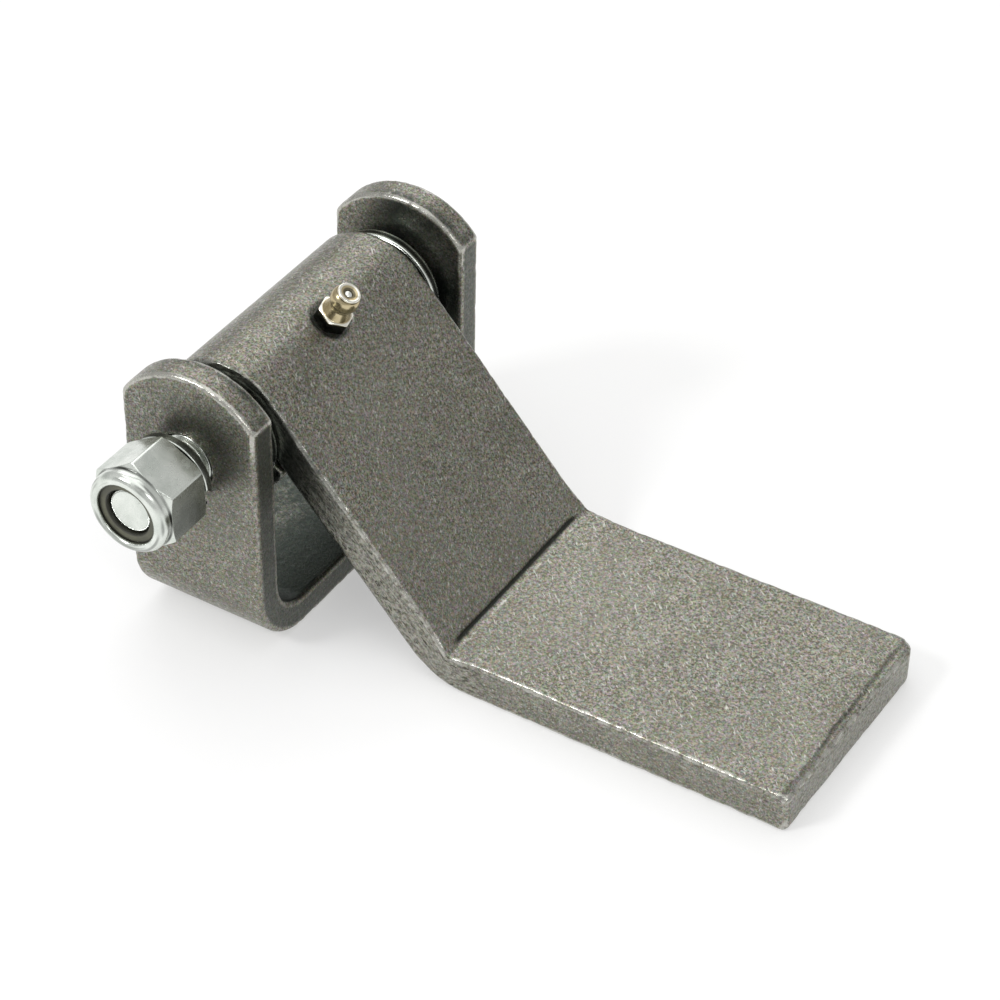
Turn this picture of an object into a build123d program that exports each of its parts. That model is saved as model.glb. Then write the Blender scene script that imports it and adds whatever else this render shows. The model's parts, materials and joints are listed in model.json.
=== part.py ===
from build123d import *
import math
import os

# Weld-on strap hinge. Millimetres, +Z up. The origin is the centre of the bracket's weld face,
# +X points to the leaf and +Y runs along the pivot bolt to its head.

# Pivot
pivot_height = 46.6
pivot_offset_x = -1.0

# Bracket: flat bar bent into a U
bracket_width = 33.4
bracket_thickness = 7.2
ear_gap = 71.1
ear_rise_above_pivot = 21.75
ear_top_radius = 20.5
ear_top_offset_x = 0.55
ear_back_corner_radius = 3.0
ear_front_corner_radius = 1.0
bracket_bend_inner_radius = 9.0
ear_hole_radius = 6.6
bar_edge_radius = 1.1

# Strap: flat bar rolled into an eye, then bent to a level leaf
strap_width = 57.15
strap_thickness = 9.525
eye_bore_radius = 6.45
slope_angle = 47.7
leaf_length = 81.0
leaf_end_out_of_square = 1.15
leaf_bend_inner_radius = 0.8
leaf_bend_outer_radius = 18.0
leaf_near_corner_radius = 1.8
leaf_far_corner_radius = 3.8
eye_seam_gap = 0.6
eye_end_corner_radius = 1.0

# Pivot bolt, half-inch thread
bolt_radius = 6.35
bolt_length = 104.1
bolt_end_radius = 4.93
bolt_end_chamfer_length = 1.4
thread_length = 31.75
thread_pitch = 1.954
thread_depth = 1.05
bolt_head_across_flats = 19.05
bolt_head_height = 7.94
bolt_head_washer_face = 0.4
bolt_head_washer_face_radius = 9.0
hexagon_turn = 1.3

# Lock nut with a rolled collar that holds a nylon ring
nut_across_flats = 19.05
nut_gap_to_ear = 6.2
nut_height = 14.4
nut_hexagon_height = 11.2
nut_bottom_chamfer_radius = 10.3
collar_radius = 9.5
collar_wall = 1.15
collar_roll_radius = 1.9
nut_mouth_chamfer = 0.6
nut_thread_radius = 6.4
nylon_height = 3.1
nylon_edge_radius = 1.25
nylon_mouth_edge = 0.35
nylon_radial_fit = 0.02
nylon_floor = 10.2
nylon_mouth_radius = 5.35

# Split lock washer
lock_washer_inner_radius = 6.55
lock_washer_outer_radius = 9.5
lock_washer_thickness = 2.0
lock_washer_lift = 0.75
lock_washer_split_angle = -22.0
lock_washer_split_gap = 20.0

# Loose thrust washers on each side of the eye
thrust_washer_outer_radius = 13.5
thrust_washer_inner_radius = 6.75
thrust_washer_thickness = 2.5
thrust_washer_edge_radius = 0.35
near_washer_gap_to_eye = 0.35
far_washer_gap_to_eye = 2.45

# Grease fitting screwed into the eye
fitting_angle = 60.5
fitting_turn = -17.0
fitting_seat_radius = 15.2
spot_face_radius = 5.0
fitting_hexagon_across_flats = 7.14
fitting_hexagon_height = 3.2
fitting_thread_radius = 3.175
fitting_thread_length = 5.0
fitting_shoulder_height = 2.0
fitting_neck_radius = 2.5
fitting_head_radius = 3.3
fitting_tip_radius = 2.55
fitting_head_height = 6.9
fitting_mouth_radius = 0.95
fitting_mouth_depth = 0.6
fitting_dish_radius = 2.1
fitting_dish_depth = 0.4
fitting_bore_radius = 1.4
ball_radius = 1.3
ball_fit = 0.05
spring_wire_radius = 0.16
spring_coil_radius = 1.0
spring_coils = 8
spring_stop_radius = 0.8
spring_stop_height = 1.0

ear_top = pivot_height + ear_rise_above_pivot
ear_outside = ear_gap / 2 + bracket_thickness
eye_radius = eye_bore_radius + strap_thickness
slope = math.radians(slope_angle)
strap_edge = strap_width / 2
pivot = Vector(pivot_offset_x, 0, pivot_height)


def across_corners(across_flats):
    return across_flats / math.sqrt(3)


def polar(radius, degrees):
    """Point at a radius and an angle round the pivot, seen along +Y with +X to the right."""
    angle = math.radians(degrees)
    return (radius * math.cos(angle), radius * math.sin(angle))


def pivot_plane(y):
    """Plane across the pivot axis at y, its own X along +X, its own Y up and its normal along -Y."""
    return Plane(origin=(pivot.X, y, pivot.Z), x_dir=(1, 0, 0), z_dir=(0, -1, 0))


def ring(outer_radius, inner_radius, y_low, y_high):
    """Plain ring round the pivot axis between two places along Y."""
    with BuildPart() as part:
        with BuildSketch(pivot_plane(y_high)):
            Circle(outer_radius)
            Circle(inner_radius, mode=Mode.SUBTRACT)
        extrude(amount=y_high - y_low)
    return part.part


def save(name, shape):
    shape.label = name
    export_step(shape, os.path.join("parts", name + ".step"))


def make_bracket():
    outer_bend = bracket_bend_inner_radius + bracket_thickness
    with BuildPart() as part:
        with BuildSketch(Plane.YZ.offset(-bracket_width / 2)):
            with BuildLine():
                outside = FilletPolyline(
                    (-ear_outside, ear_top),
                    (-ear_outside, 0),
                    (ear_outside, 0),
                    (ear_outside, ear_top),
                    radius=outer_bend,
                )
                inside = FilletPolyline(
                    (-ear_gap / 2, ear_top),
                    (-ear_gap / 2, bracket_thickness),
                    (ear_gap / 2, bracket_thickness),
                    (ear_gap / 2, ear_top),
                    radius=bracket_bend_inner_radius,
                )
                Line(outside @ 0, inside @ 0)
                Line(outside @ 1, inside @ 1)
            make_face()
        extrude(amount=bracket_width)
        with BuildSketch(Plane.XZ.offset(-ear_outside - 1)) as ear:
            half = bracket_width / 2
            front = (half, ear_height(half))
            back = (-half, ear_height(-half))
            with BuildLine():
                Polyline(front, (half, 0), (-half, 0), back)
                ThreePointArc(back, (ear_top_offset_x, ear_top), front)
            make_face()
            for place, radius in ((front, ear_front_corner_radius), (back, ear_back_corner_radius)):
                corner = ear.vertices().sort_by_distance(place)[0]
                fillet(corner, radius=radius)
        extrude(amount=2 * ear_outside + 2, mode=Mode.INTERSECT)
        fillet(part.edges().filter_by(lambda edge: not is_across_bar(edge)), bar_edge_radius)
        with BuildSketch(pivot_plane(ear_outside + 1)):
            Circle(ear_hole_radius)
        extrude(amount=2 * ear_outside + 2, mode=Mode.SUBTRACT)
    return part.part


def ear_height(x):
    """Height of the ear's rounded top at x."""
    return ear_top - ear_top_radius + math.sqrt(ear_top_radius**2 - (x - ear_top_offset_x) ** 2)


def is_across_bar(edge):
    """True for the lines where two faces of the bent bar run smoothly into each other."""
    box = edge.bounding_box()
    runs_through_width = box.size.X > bracket_width - 0.01
    runs_through_thickness = box.size.X < 0.01 and box.size.Z < 0.01
    runs_through_bend = box.size.X < 0.01 and abs(box.size.Y - bracket_thickness) < 0.01
    return runs_through_width or runs_through_thickness or runs_through_bend


def strap_profile():
    """Side outline of the strap round the pivot, seen with +X to the right and +Z up."""
    base = -pivot_height
    leaf_top = base + strap_thickness
    down = Vector(math.cos(slope), -math.sin(slope))
    normal = Vector(math.sin(slope), math.cos(slope))
    tangent_angle = 90 - slope_angle
    seam_angle = tangent_angle - math.degrees(math.acos((eye_bore_radius - eye_seam_gap) / eye_radius))
    slope_length = (eye_radius * math.cos(slope) - leaf_top) / math.sin(slope)
    crease = normal * eye_radius + down * slope_length
    leaf_end = crease.X + leaf_length
    heel = crease - normal * strap_thickness
    heel_length = (heel.Y - base) / math.sin(slope)
    heel_point = heel + down * heel_length
    top_angle = (tangent_angle + seam_angle + 360) / 2
    with BuildSketch(pivot_plane(strap_edge)) as sketch:
        with BuildLine():
            top = FilletPolyline(
                normal * eye_radius, crease, (leaf_end, leaf_top), radius=leaf_bend_inner_radius
            )
            end = Line(top @ 1, (leaf_end, base))
            FilletPolyline(end @ 1, heel_point, normal * eye_bore_radius, radius=leaf_bend_outer_radius)
            ThreePointArc(
                normal * eye_bore_radius,
                polar(eye_bore_radius, top_angle),
                polar(eye_bore_radius, seam_angle),
            )
            Line(polar(eye_bore_radius, seam_angle), polar(eye_radius, seam_angle))
            ThreePointArc(
                polar(eye_radius, seam_angle), polar(eye_radius, top_angle), normal * eye_radius
            )
        face = make_face()
        seam_corners = [
            corner
            for corner in face.vertices()
            if (Vector(corner.X, corner.Y) - Vector(*polar(eye_radius, seam_angle))).length < 0.1
            or (Vector(corner.X, corner.Y) - Vector(*polar(eye_bore_radius, seam_angle))).length < 0.1
        ]
        fillet(seam_corners, radius=eye_end_corner_radius)
    return sketch.sketch


def leaf_end_trim(leaf_end):
    """Wedge that cuts the leaf's end a little out of square, shorter toward -Y."""
    with BuildPart() as part:
        with BuildSketch(Plane.XY):
            Polygon(
                (leaf_end - leaf_end_out_of_square, -strap_edge),
                (leaf_end + 1, -strap_edge),
                (leaf_end + 1, strap_edge),
                (leaf_end, strap_edge),
                align=None,
            )
        extrude(amount=strap_thickness)
    return part.part


def make_strap():
    with BuildPart() as part:
        extrude(strap_profile(), amount=strap_width, dir=(0, -1, 0))
        add(leaf_end_trim(part.part.bounding_box().max.X), mode=Mode.SUBTRACT)
        for end, radius in ((0, leaf_near_corner_radius), (-1, leaf_far_corner_radius)):
            leaf_tip = part.faces().filter_by(GeomType.PLANE).sort_by(Axis.X)[-1]
            corner = leaf_tip.edges().filter_by(Axis.Z).sort_by(Axis.Y)[end]
            fillet(corner, radius)
        side_faces = part.faces().filter_by(Axis.Y).sort_by(Axis.Y)
        sides = side_faces[0].edges() + side_faces[-1].edges()
        leaf_tip = part.faces().filter_by(GeomType.PLANE).sort_by(Axis.X)[-1]
        tip = leaf_tip.edges().filter_by(lambda edge: edge.bounding_box().size.Z < 0.01)
        fillet(sides + tip, bar_edge_radius)
        add(grease_port(), mode=Mode.SUBTRACT)
    return part.part


def fitting_plane(radius):
    """Plane across the grease fitting's axis at a distance from the pivot, its normal outward."""
    x, z = polar(radius, fitting_angle)
    out_x, out_z = polar(1, fitting_angle)
    return Plane(
        origin=(pivot.X + x, 0, pivot.Z + z), x_dir=(0, 1, 0), z_dir=(out_x, 0, out_z)
    )


def grease_port():
    """Solid that cuts the spot face and the threaded hole for the grease fitting."""
    with BuildPart() as part:
        with BuildSketch(fitting_plane(fitting_seat_radius)):
            Circle(spot_face_radius)
        extrude(amount=strap_thickness)
        with BuildSketch(fitting_plane(0)):
            Circle(fitting_thread_radius)
        extrude(amount=eye_radius)
    return part.part


def hexagon_rounding(across_flats, low, high, low_radius, high_radius, angle=30):
    """Solid of revolution that takes the corners off both ends of a hexagon."""
    drop = math.tan(math.radians(angle))
    reach = across_corners(across_flats) + 1
    with BuildPart() as part:
        with BuildSketch(Plane.XZ):
            with BuildLine():
                Polyline(
                    (0, low),
                    (low_radius, low),
                    (reach, low + (reach - low_radius) * drop),
                    (reach, high - (reach - high_radius) * drop),
                    (high_radius, high),
                    (0, high),
                    close=True,
                )
            make_face()
        revolve(axis=Axis.Z)
    return part.part


def hexagon(across_flats, low, high, low_radius, high_radius):
    """Hexagon along +Z with rounded-off corners and one corner along its own +Y."""
    with BuildPart() as part:
        with BuildSketch(Plane.XY.offset(low)):
            RegularPolygon(across_corners(across_flats), 6, rotation=90)
        extrude(amount=high - low)
        add(hexagon_rounding(across_flats, low, high, low_radius, high_radius), mode=Mode.INTERSECT)
    return part.part


def on_bolt(shape, y, toward_head):
    """Stand a shape that was made along +Z on the pivot axis, its base at y."""
    direction = 1 if toward_head else -1
    plane = Plane(origin=(pivot.X, y, pivot.Z), x_dir=(-direction, 0, 0), z_dir=(0, direction, 0))
    return plane.location * Rot(0, 0, hexagon_turn) * shape


def make_pivot_bolt():
    head = hexagon(
        bolt_head_across_flats,
        bolt_head_washer_face,
        bolt_head_height,
        bolt_head_washer_face_radius,
        bolt_head_across_flats / 2,
    )
    with BuildPart() as part:
        add(on_bolt(head, ear_outside, True))
        bolt_end = ear_outside - bolt_length
        thread_start = bolt_end + thread_length
        root_radius = bolt_radius - thread_depth
        with BuildSketch(Plane.YZ.offset(pivot.X)):
            with BuildLine():
                Polyline(
                    (ear_outside + bolt_head_washer_face, pivot_height),
                    (ear_outside + bolt_head_washer_face, pivot_height + bolt_head_washer_face_radius),
                    (ear_outside, pivot_height + bolt_head_washer_face_radius),
                    (ear_outside, pivot_height + bolt_radius),
                    *thread_outline(thread_start, bolt_end, root_radius),
                    (bolt_end, pivot_height + bolt_end_radius),
                    (bolt_end, pivot_height),
                    close=True,
                )
            make_face()
        revolve(axis=Axis((0, 0, pivot_height), (0, 1, 0)).located(Location((pivot.X, 0, 0))))
    return part.part


def thread_outline(thread_start, bolt_end, root_radius):
    """Crest and root points of the thread, from the shank to the chamfered end."""
    points = []
    turns = int((thread_length - bolt_end_chamfer_length) / thread_pitch)
    for turn in range(turns):
        crest = thread_start - turn * thread_pitch
        points.append((crest, pivot_height + bolt_radius))
        points.append((crest - thread_pitch * 0.45, pivot_height + root_radius))
        points.append((crest - thread_pitch * 0.55, pivot_height + root_radius))
        points.append((crest - thread_pitch * 0.9, pivot_height + bolt_radius))
    points.append((bolt_end + bolt_end_chamfer_length, pivot_height + bolt_radius))
    return points


def make_lock_nut():
    nut = hexagon(nut_across_flats, 0, nut_hexagon_height, nut_bottom_chamfer_radius, collar_radius)
    roll_centre = collar_radius - collar_roll_radius
    roll_base = nut_height - collar_roll_radius
    inner_roll = collar_roll_radius - collar_wall
    outer_diagonal = collar_roll_radius * math.sqrt(0.5)
    inner_diagonal = inner_roll * math.sqrt(0.5)
    inside_collar = collar_radius - collar_wall
    hexagon_inside = nut_hexagon_height - 2
    with BuildPart() as part:
        add(nut)
        with BuildSketch(Plane.XZ):
            with BuildLine():
                Polyline(
                    (0, hexagon_inside),
                    (collar_radius, hexagon_inside),
                    (collar_radius, roll_base),
                )
                ThreePointArc(
                    (collar_radius, roll_base),
                    (roll_centre + outer_diagonal, roll_base + outer_diagonal),
                    (roll_centre, nut_height),
                )
                ThreePointArc(
                    (roll_centre, nut_height),
                    (roll_centre - collar_wall / 2, nut_height - collar_wall / 2),
                    (roll_centre, nut_height - collar_wall),
                )
                ThreePointArc(
                    (roll_centre, nut_height - collar_wall),
                    (roll_centre + inner_diagonal, roll_base + inner_diagonal),
                    (inside_collar, roll_base),
                )
                Polyline((inside_collar, roll_base), (0, roll_base), (0, hexagon_inside))
            make_face()
        revolve(axis=Axis.Z)
        with BuildSketch(Plane.XY.offset(nylon_floor)):
            Circle(inside_collar)
        extrude(amount=roll_base - nylon_floor, mode=Mode.SUBTRACT)
        with BuildSketch(Plane.XY):
            Circle(nut_thread_radius)
        extrude(amount=nut_height, mode=Mode.SUBTRACT)
        mouth = part.edges().filter_by(GeomType.CIRCLE).group_by(Axis.Z)[0].sort_by(SortBy.RADIUS)
        chamfer(mouth[0], nut_mouth_chamfer)
    return on_bolt(part.part, -ear_outside - nut_gap_to_ear, False)


def top_rims(part):
    """Round edges at the top of a turned piece, the smallest first."""
    return part.edges().filter_by(GeomType.CIRCLE).group_by(Axis.Z)[-1].sort_by(SortBy.RADIUS)


def make_nylon_insert():
    """Ring formed round the thread, closing in over the bolt's chamfered end."""
    outer_radius = collar_radius - collar_wall - nylon_radial_fit
    inner_radius = bolt_radius + nylon_radial_fit
    top = nylon_floor + nylon_height
    bolt_end = bolt_length - 2 * ear_outside - nut_gap_to_ear
    chamfer_start = bolt_end - bolt_end_chamfer_length
    chamfer_steepness = bolt_end_chamfer_length / (bolt_radius - bolt_end_radius)
    mouth_base = chamfer_start + (inner_radius - nylon_mouth_radius) * chamfer_steepness
    with BuildPart() as part:
        with BuildSketch(Plane.XZ):
            Polygon(
                (inner_radius, nylon_floor),
                (outer_radius, nylon_floor),
                (outer_radius, top),
                (nylon_mouth_radius, top),
                (nylon_mouth_radius, mouth_base),
                (inner_radius, chamfer_start),
                align=None,
            )
        revolve(axis=Axis.Z)
        fillet(top_rims(part)[-1], nylon_edge_radius)
        fillet(top_rims(part)[0], nylon_mouth_edge)
    return on_bolt(part.part, -ear_outside - nut_gap_to_ear, False)


def make_lock_washer():
    """One turn of square wire, its split end lifted off the nut toward the ear."""
    middle = (lock_washer_inner_radius + lock_washer_outer_radius) / 2
    width = lock_washer_outer_radius - lock_washer_inner_radius
    turn = 1 - lock_washer_split_gap / 360
    path = Helix(lock_washer_lift / turn, lock_washer_lift, middle)
    start = Plane(origin=path @ 0, x_dir=(1, 0, 0), z_dir=path % 0)
    section = start * RectangleRounded(width, lock_washer_thickness, 0.3)
    washer = sweep(section, path=path, is_frenet=True)
    plane = Plane(
        origin=(pivot.X, -ear_outside - nut_gap_to_ear + lock_washer_thickness / 2, pivot.Z),
        x_dir=(1, 0, 0),
        z_dir=(0, 1, 0),
    )
    return plane.location * Rot(0, 0, -lock_washer_split_angle) * washer


def make_thrust_washer(y_low):
    y_high = y_low + thrust_washer_thickness
    washer = ring(thrust_washer_outer_radius, thrust_washer_inner_radius, y_low, y_high)
    rims = washer.edges().filter_by(GeomType.CIRCLE)
    return fillet(rims, thrust_washer_edge_radius)


def make_grease_fitting():
    """Fitting along +Z, its seat at zero: threaded shank, hexagon, neck, head and a bore for the ball."""
    tip = fitting_hexagon_height + fitting_head_height
    shank_end = -fitting_thread_length
    widest = fitting_hexagon_height + fitting_head_height * 0.58
    body = hexagon(
        fitting_hexagon_across_flats,
        0,
        fitting_hexagon_height,
        across_corners(fitting_hexagon_across_flats),
        fitting_hexagon_across_flats / 2 - 0.1,
    )
    with BuildPart() as part:
        add(body)
        with BuildSketch(Plane.XZ):
            with BuildLine():
                Polyline(
                    (0, shank_end),
                    (fitting_thread_radius - 0.5, shank_end),
                    (fitting_thread_radius, shank_end + 0.5),
                    (fitting_thread_radius, fitting_hexagon_height),
                    (fitting_neck_radius, fitting_hexagon_height + fitting_shoulder_height),
                    (fitting_neck_radius, widest - 1.2),
                    (fitting_head_radius, widest - 0.3),
                    (fitting_head_radius, widest + 0.5),
                )
                ThreePointArc(
                    (fitting_head_radius, widest + 0.5),
                    (fitting_head_radius - 0.15, widest + 1.6),
                    (fitting_tip_radius, tip),
                )
                Polyline((fitting_tip_radius, tip), (0, tip), (0, shank_end))
            make_face()
        revolve(axis=Axis.Z)
        with BuildSketch(Plane.XZ):
            Polygon(*fitting_bore_outline(shank_end, tip), align=None)
        revolve(axis=Axis.Z, mode=Mode.SUBTRACT)
    return part.part


def fitting_bore_outline(shank_end, tip):
    """Half section of the passage: grease hole, spring bore, ball seat, mouth and dished rim."""
    return [
        (0, shank_end),
        (spring_stop_radius, shank_end),
        (spring_stop_radius, shank_end + spring_stop_height),
        (fitting_bore_radius, shank_end + spring_stop_height),
        (fitting_bore_radius, tip - fitting_mouth_depth),
        (fitting_mouth_radius, tip - fitting_mouth_depth),
        (fitting_mouth_radius, tip - fitting_dish_depth),
        (fitting_dish_radius, tip),
        (0, tip),
    ]


def ball_height():
    """Height of the ball's centre above the fitting's seat, resting under the mouth."""
    under_mouth = math.sqrt(ball_radius**2 - fitting_mouth_radius**2)
    return fitting_hexagon_height + fitting_head_height - fitting_mouth_depth - under_mouth - ball_fit


def make_fitting_spring():
    reach = ball_radius + spring_wire_radius + ball_fit
    top = ball_height() - math.sqrt(reach**2 - spring_coil_radius**2)
    bottom = spring_stop_height - fitting_thread_length + spring_wire_radius + ball_fit
    height = top - bottom
    path = Helix(height / spring_coils, height, spring_coil_radius)
    section = Plane(origin=path @ 0, z_dir=path % 0) * Circle(spring_wire_radius)
    return Pos(0, 0, bottom) * sweep(section, path=path, is_frenet=True)


def in_eye(shape):
    """Stand a shape that was made along +Z on the spot face of the eye."""
    return fitting_plane(fitting_seat_radius).location * Rot(0, 0, fitting_turn) * shape


os.makedirs("parts", exist_ok=True)
save("bracket", make_bracket())
save("strap", make_strap())
save("pivot_bolt", make_pivot_bolt())
save("lock_nut", make_lock_nut())
save("nylon_insert", make_nylon_insert())
save("lock_washer", make_lock_washer())
far_washer_y = strap_edge + far_washer_gap_to_eye
near_washer_y = -strap_edge - near_washer_gap_to_eye - thrust_washer_thickness
save("thrust_washer_far", make_thrust_washer(far_washer_y))
save("thrust_washer_near", make_thrust_washer(near_washer_y))
save("grease_fitting", in_eye(make_grease_fitting()))
save("fitting_ball", in_eye(Pos(0, 0, ball_height()) * Sphere(ball_radius)))
save("fitting_spring", in_eye(make_fitting_spring()))
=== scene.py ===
import json
import math
from itertools import product

import bmesh
import bpy
import numpy as np
from mathutils import Matrix, Vector


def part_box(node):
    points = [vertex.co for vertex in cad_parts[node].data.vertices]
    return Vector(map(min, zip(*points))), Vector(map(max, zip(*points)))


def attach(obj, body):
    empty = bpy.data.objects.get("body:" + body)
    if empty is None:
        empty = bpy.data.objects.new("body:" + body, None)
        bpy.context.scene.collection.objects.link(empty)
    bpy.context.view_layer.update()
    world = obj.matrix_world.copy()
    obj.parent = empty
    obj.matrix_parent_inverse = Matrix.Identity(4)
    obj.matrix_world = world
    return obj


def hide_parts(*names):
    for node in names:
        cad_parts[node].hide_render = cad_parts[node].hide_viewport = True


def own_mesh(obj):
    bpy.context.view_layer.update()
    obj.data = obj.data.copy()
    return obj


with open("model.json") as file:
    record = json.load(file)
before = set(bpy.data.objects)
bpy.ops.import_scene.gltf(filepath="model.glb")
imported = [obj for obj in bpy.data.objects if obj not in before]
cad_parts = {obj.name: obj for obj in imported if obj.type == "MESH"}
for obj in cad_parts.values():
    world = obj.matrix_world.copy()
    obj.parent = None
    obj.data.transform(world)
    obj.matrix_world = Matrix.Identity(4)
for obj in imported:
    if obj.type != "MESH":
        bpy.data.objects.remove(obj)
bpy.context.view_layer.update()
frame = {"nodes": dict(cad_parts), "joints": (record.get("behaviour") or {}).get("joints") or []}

# Lengths below are millimetres. The CAD frame and Blender use metres.
MM = 0.001
TURN = 2 * math.pi

# Camera: angles in degrees, aim and distance from the object, focal length
AZIMUTH, ELEVATION, ROLL = 30.805, 39.191, 1.224
CAMERA_DISTANCE = 654.22
CAMERA_AIM = (44.928, 6.75, 22.942)
LENS = 109.55

# Places read from the frame
joint = {j["name"]: j for j in frame["joints"]}
PIVOT = Vector(joint["strap_swing"]["pos_m"]) / MM


def size_box(node):
    low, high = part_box(node)
    return low / MM, high / MM


strap_low, strap_high = size_box("strap")
nut_low, nut_high = size_box("lock_nut")
bolt_low = size_box("pivot_bolt")[0]
bracket_low, bracket_high = size_box("bracket")

# Strap: a bar rolled into an eye, sloping down to a crease and a flat leaf
EYE_RADIUS = PIVOT.x - strap_low.x
STRAP_THICKNESS = 9.525
EYE_BORE = EYE_RADIUS - STRAP_THICKNESS
SLOPE = math.radians(47.7)
HALF_WIDTH = strap_high.y
SLOPE_NORMAL = np.array((math.sin(SLOPE), math.cos(SLOPE)))
SLOPE_DOWN = np.array((math.cos(SLOPE), -math.sin(SLOPE)))
LEAF_TOP = STRAP_THICKNESS
SLOPE_LENGTH = (EYE_RADIUS * math.cos(SLOPE) + PIVOT.z - LEAF_TOP) / math.sin(SLOPE)
CREASE = EYE_RADIUS * SLOPE_NORMAL + SLOPE_LENGTH * SLOPE_DOWN + np.array((PIVOT.x, PIVOT.z))
END_SKEW = 1.15

# Grease fitting: its axis leans out of the eye, and its seat is that far from the pivot
ball_axis = joint["check_ball_slide"]["axis"]
FITTING_ANGLE = math.atan2(-ball_axis[2], -ball_axis[0])
FITTING_AXIS = np.array((math.cos(FITTING_ANGLE), 0, math.sin(FITTING_ANGLE)))
FITTING_SEAT = 15.2

# Fasteners
WRENCH_FLATS = 19.05
CHAMFER = math.tan(math.radians(30))
HEX_TURN = math.radians(90 + 1.3)
THREAD_PITCH, THREAD_DEPTH = 1.954, 1.15
SPRING_WIRE = 0.16
SPRING_FOOT, SPRING_TOP = -3.79, 7.431

# Wear: edge length of the fine meshes, and the limits of convexity (per mm) between a face and a worn edge
FINE_VOXEL = 0.42
EDGE_STARTS, EDGE_FULL = 0.05, 0.19


# ---------------------------------------------------------------- noise and mesh helpers

def lattice(cells, seed):
    """A repeatable value from -1 to 1 for each cell of a grid."""
    h = cells[:, 0] * 73856093 ^ cells[:, 1] * 19349663 ^ cells[:, 2] * 83492791 ^ seed * 2654435761
    h = (h ^ (h >> 13)) * 1274126177
    return ((h ^ (h >> 16)) & 0xFFFF) / 32767.5 - 1


def noise(points, cell, seed):
    """Smooth noise from -1 to 1 with features about one cell across. cell may be one size or three."""
    q = points / np.asarray(cell, float)
    base = np.floor(q).astype(np.int64)
    part = q - base
    smooth = part * part * (3 - 2 * part)
    total = np.zeros(len(points))
    for corner in product((0, 1), repeat=3):
        c = np.array(corner)
        weight = np.prod(np.where(c, smooth, 1 - smooth), axis=1)
        total += weight * lattice(base + c, seed)
    return total


def step(x, low, high):
    """A smooth step from 0 at low to 1 at high."""
    t = np.clip((x - low) / (high - low), 0, 1)
    return t * t * (3 - 2 * t)


def soft_min(a, b, width):
    """The smaller of two lengths, rounded over where they cross."""
    h = np.clip(0.5 + 0.5 * (b - a) / width, 0, 1)
    return b * (1 - h) + a * h - width * h * (1 - h)


def new_mesh(name, points_mm, faces):
    mesh = bpy.data.meshes.new(name)
    mesh.from_pydata([tuple(p) for p in np.asarray(points_mm) * MM], [], faces)
    mesh.validate()
    outward = bmesh.new()
    outward.from_mesh(mesh)
    bmesh.ops.recalc_face_normals(outward, faces=outward.faces)
    outward.to_mesh(mesh)
    outward.free()
    mesh.shade_smooth()
    obj = bpy.data.objects.new(name, mesh)
    bpy.context.scene.collection.objects.link(obj)
    return obj


def coordinates(mesh, what="co"):
    data = np.zeros(len(mesh.vertices) * 3)
    mesh.vertices.foreach_get(what, data)
    return data.reshape(-1, 3)


def from_pivot_axis(co):
    """Distance of each point from the middle of the bolt."""
    return np.hypot(co[:, 0] - PIVOT.x, co[:, 2] - PIVOT.z)


def put_attribute(mesh, name, values):
    vector = np.ndim(values) == 2
    layer = mesh.attributes.new(name, "FLOAT_VECTOR" if vector else "FLOAT", "POINT")
    layer.data.foreach_set("vector" if vector else "value", np.ravel(values).astype(np.float32))


def dense(node):
    """A fine even mesh of a CAD node, to carve and to mark with attributes."""
    source = frame["nodes"][node]
    copy = bpy.data.objects.new(node + "_source", source.data.copy())
    bpy.context.scene.collection.objects.link(copy)
    remesh = copy.modifiers.new("even", "REMESH")
    remesh.mode = "VOXEL"
    remesh.voxel_size = FINE_VOXEL * MM
    remesh.use_smooth_shade = True
    bpy.context.view_layer.update()
    result = copy.evaluated_get(bpy.context.evaluated_depsgraph_get())
    mesh = bpy.data.meshes.new_from_object(result)
    bpy.data.objects.remove(copy)
    mesh.name = node
    obj = bpy.data.objects.new(node + "_worn", mesh)
    bpy.context.scene.collection.objects.link(obj)
    mesh.materials.clear()
    mesh.shade_smooth()
    return obj


def neighbours(mesh):
    pairs = np.zeros(len(mesh.edges) * 2, np.int64)
    mesh.edges.foreach_get("vertices", pairs)
    return pairs.reshape(-1, 2)


def spread(values, pairs, rounds):
    """Blurs per-vertex values along the mesh's edges."""
    count = np.bincount(pairs.ravel(), minlength=len(values))
    for _ in range(rounds):
        total = np.bincount(pairs[:, 0], values[pairs[:, 1]], len(values))
        total += np.bincount(pairs[:, 1], values[pairs[:, 0]], len(values))
        values = 0.5 * values + 0.5 * total / np.maximum(count, 1)
    return values


def convexity(mesh, rounds):
    """How sharply the surface turns per millimetre: positive on an outer edge, negative in a groove."""
    co = coordinates(mesh) / MM
    normal = coordinates(mesh, what="normal")
    pairs = neighbours(mesh)
    offset = co[pairs[:, 1]] - co[pairs[:, 0]]
    length = np.maximum((offset ** 2).sum(1), 1e-9)
    bend_a = -(offset * normal[pairs[:, 0]]).sum(1) / length
    bend_b = (offset * normal[pairs[:, 1]]).sum(1) / length
    count = np.maximum(np.bincount(pairs.ravel(), minlength=len(co)), 1)
    bend = np.bincount(pairs[:, 0], bend_a, len(co)) + np.bincount(pairs[:, 1], bend_b, len(co))
    return spread(bend / count, pairs, rounds)


def carve(mesh, depth):
    """Moves each vertex inward along its normal by depth, in millimetres."""
    co = coordinates(mesh)
    normal = coordinates(mesh, what="normal")
    co -= normal * np.asarray(depth)[:, None] * MM
    mesh.vertices.foreach_set("co", co.ravel())
    mesh.update()


# ---------------------------------------------------------------- strap and bracket

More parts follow.
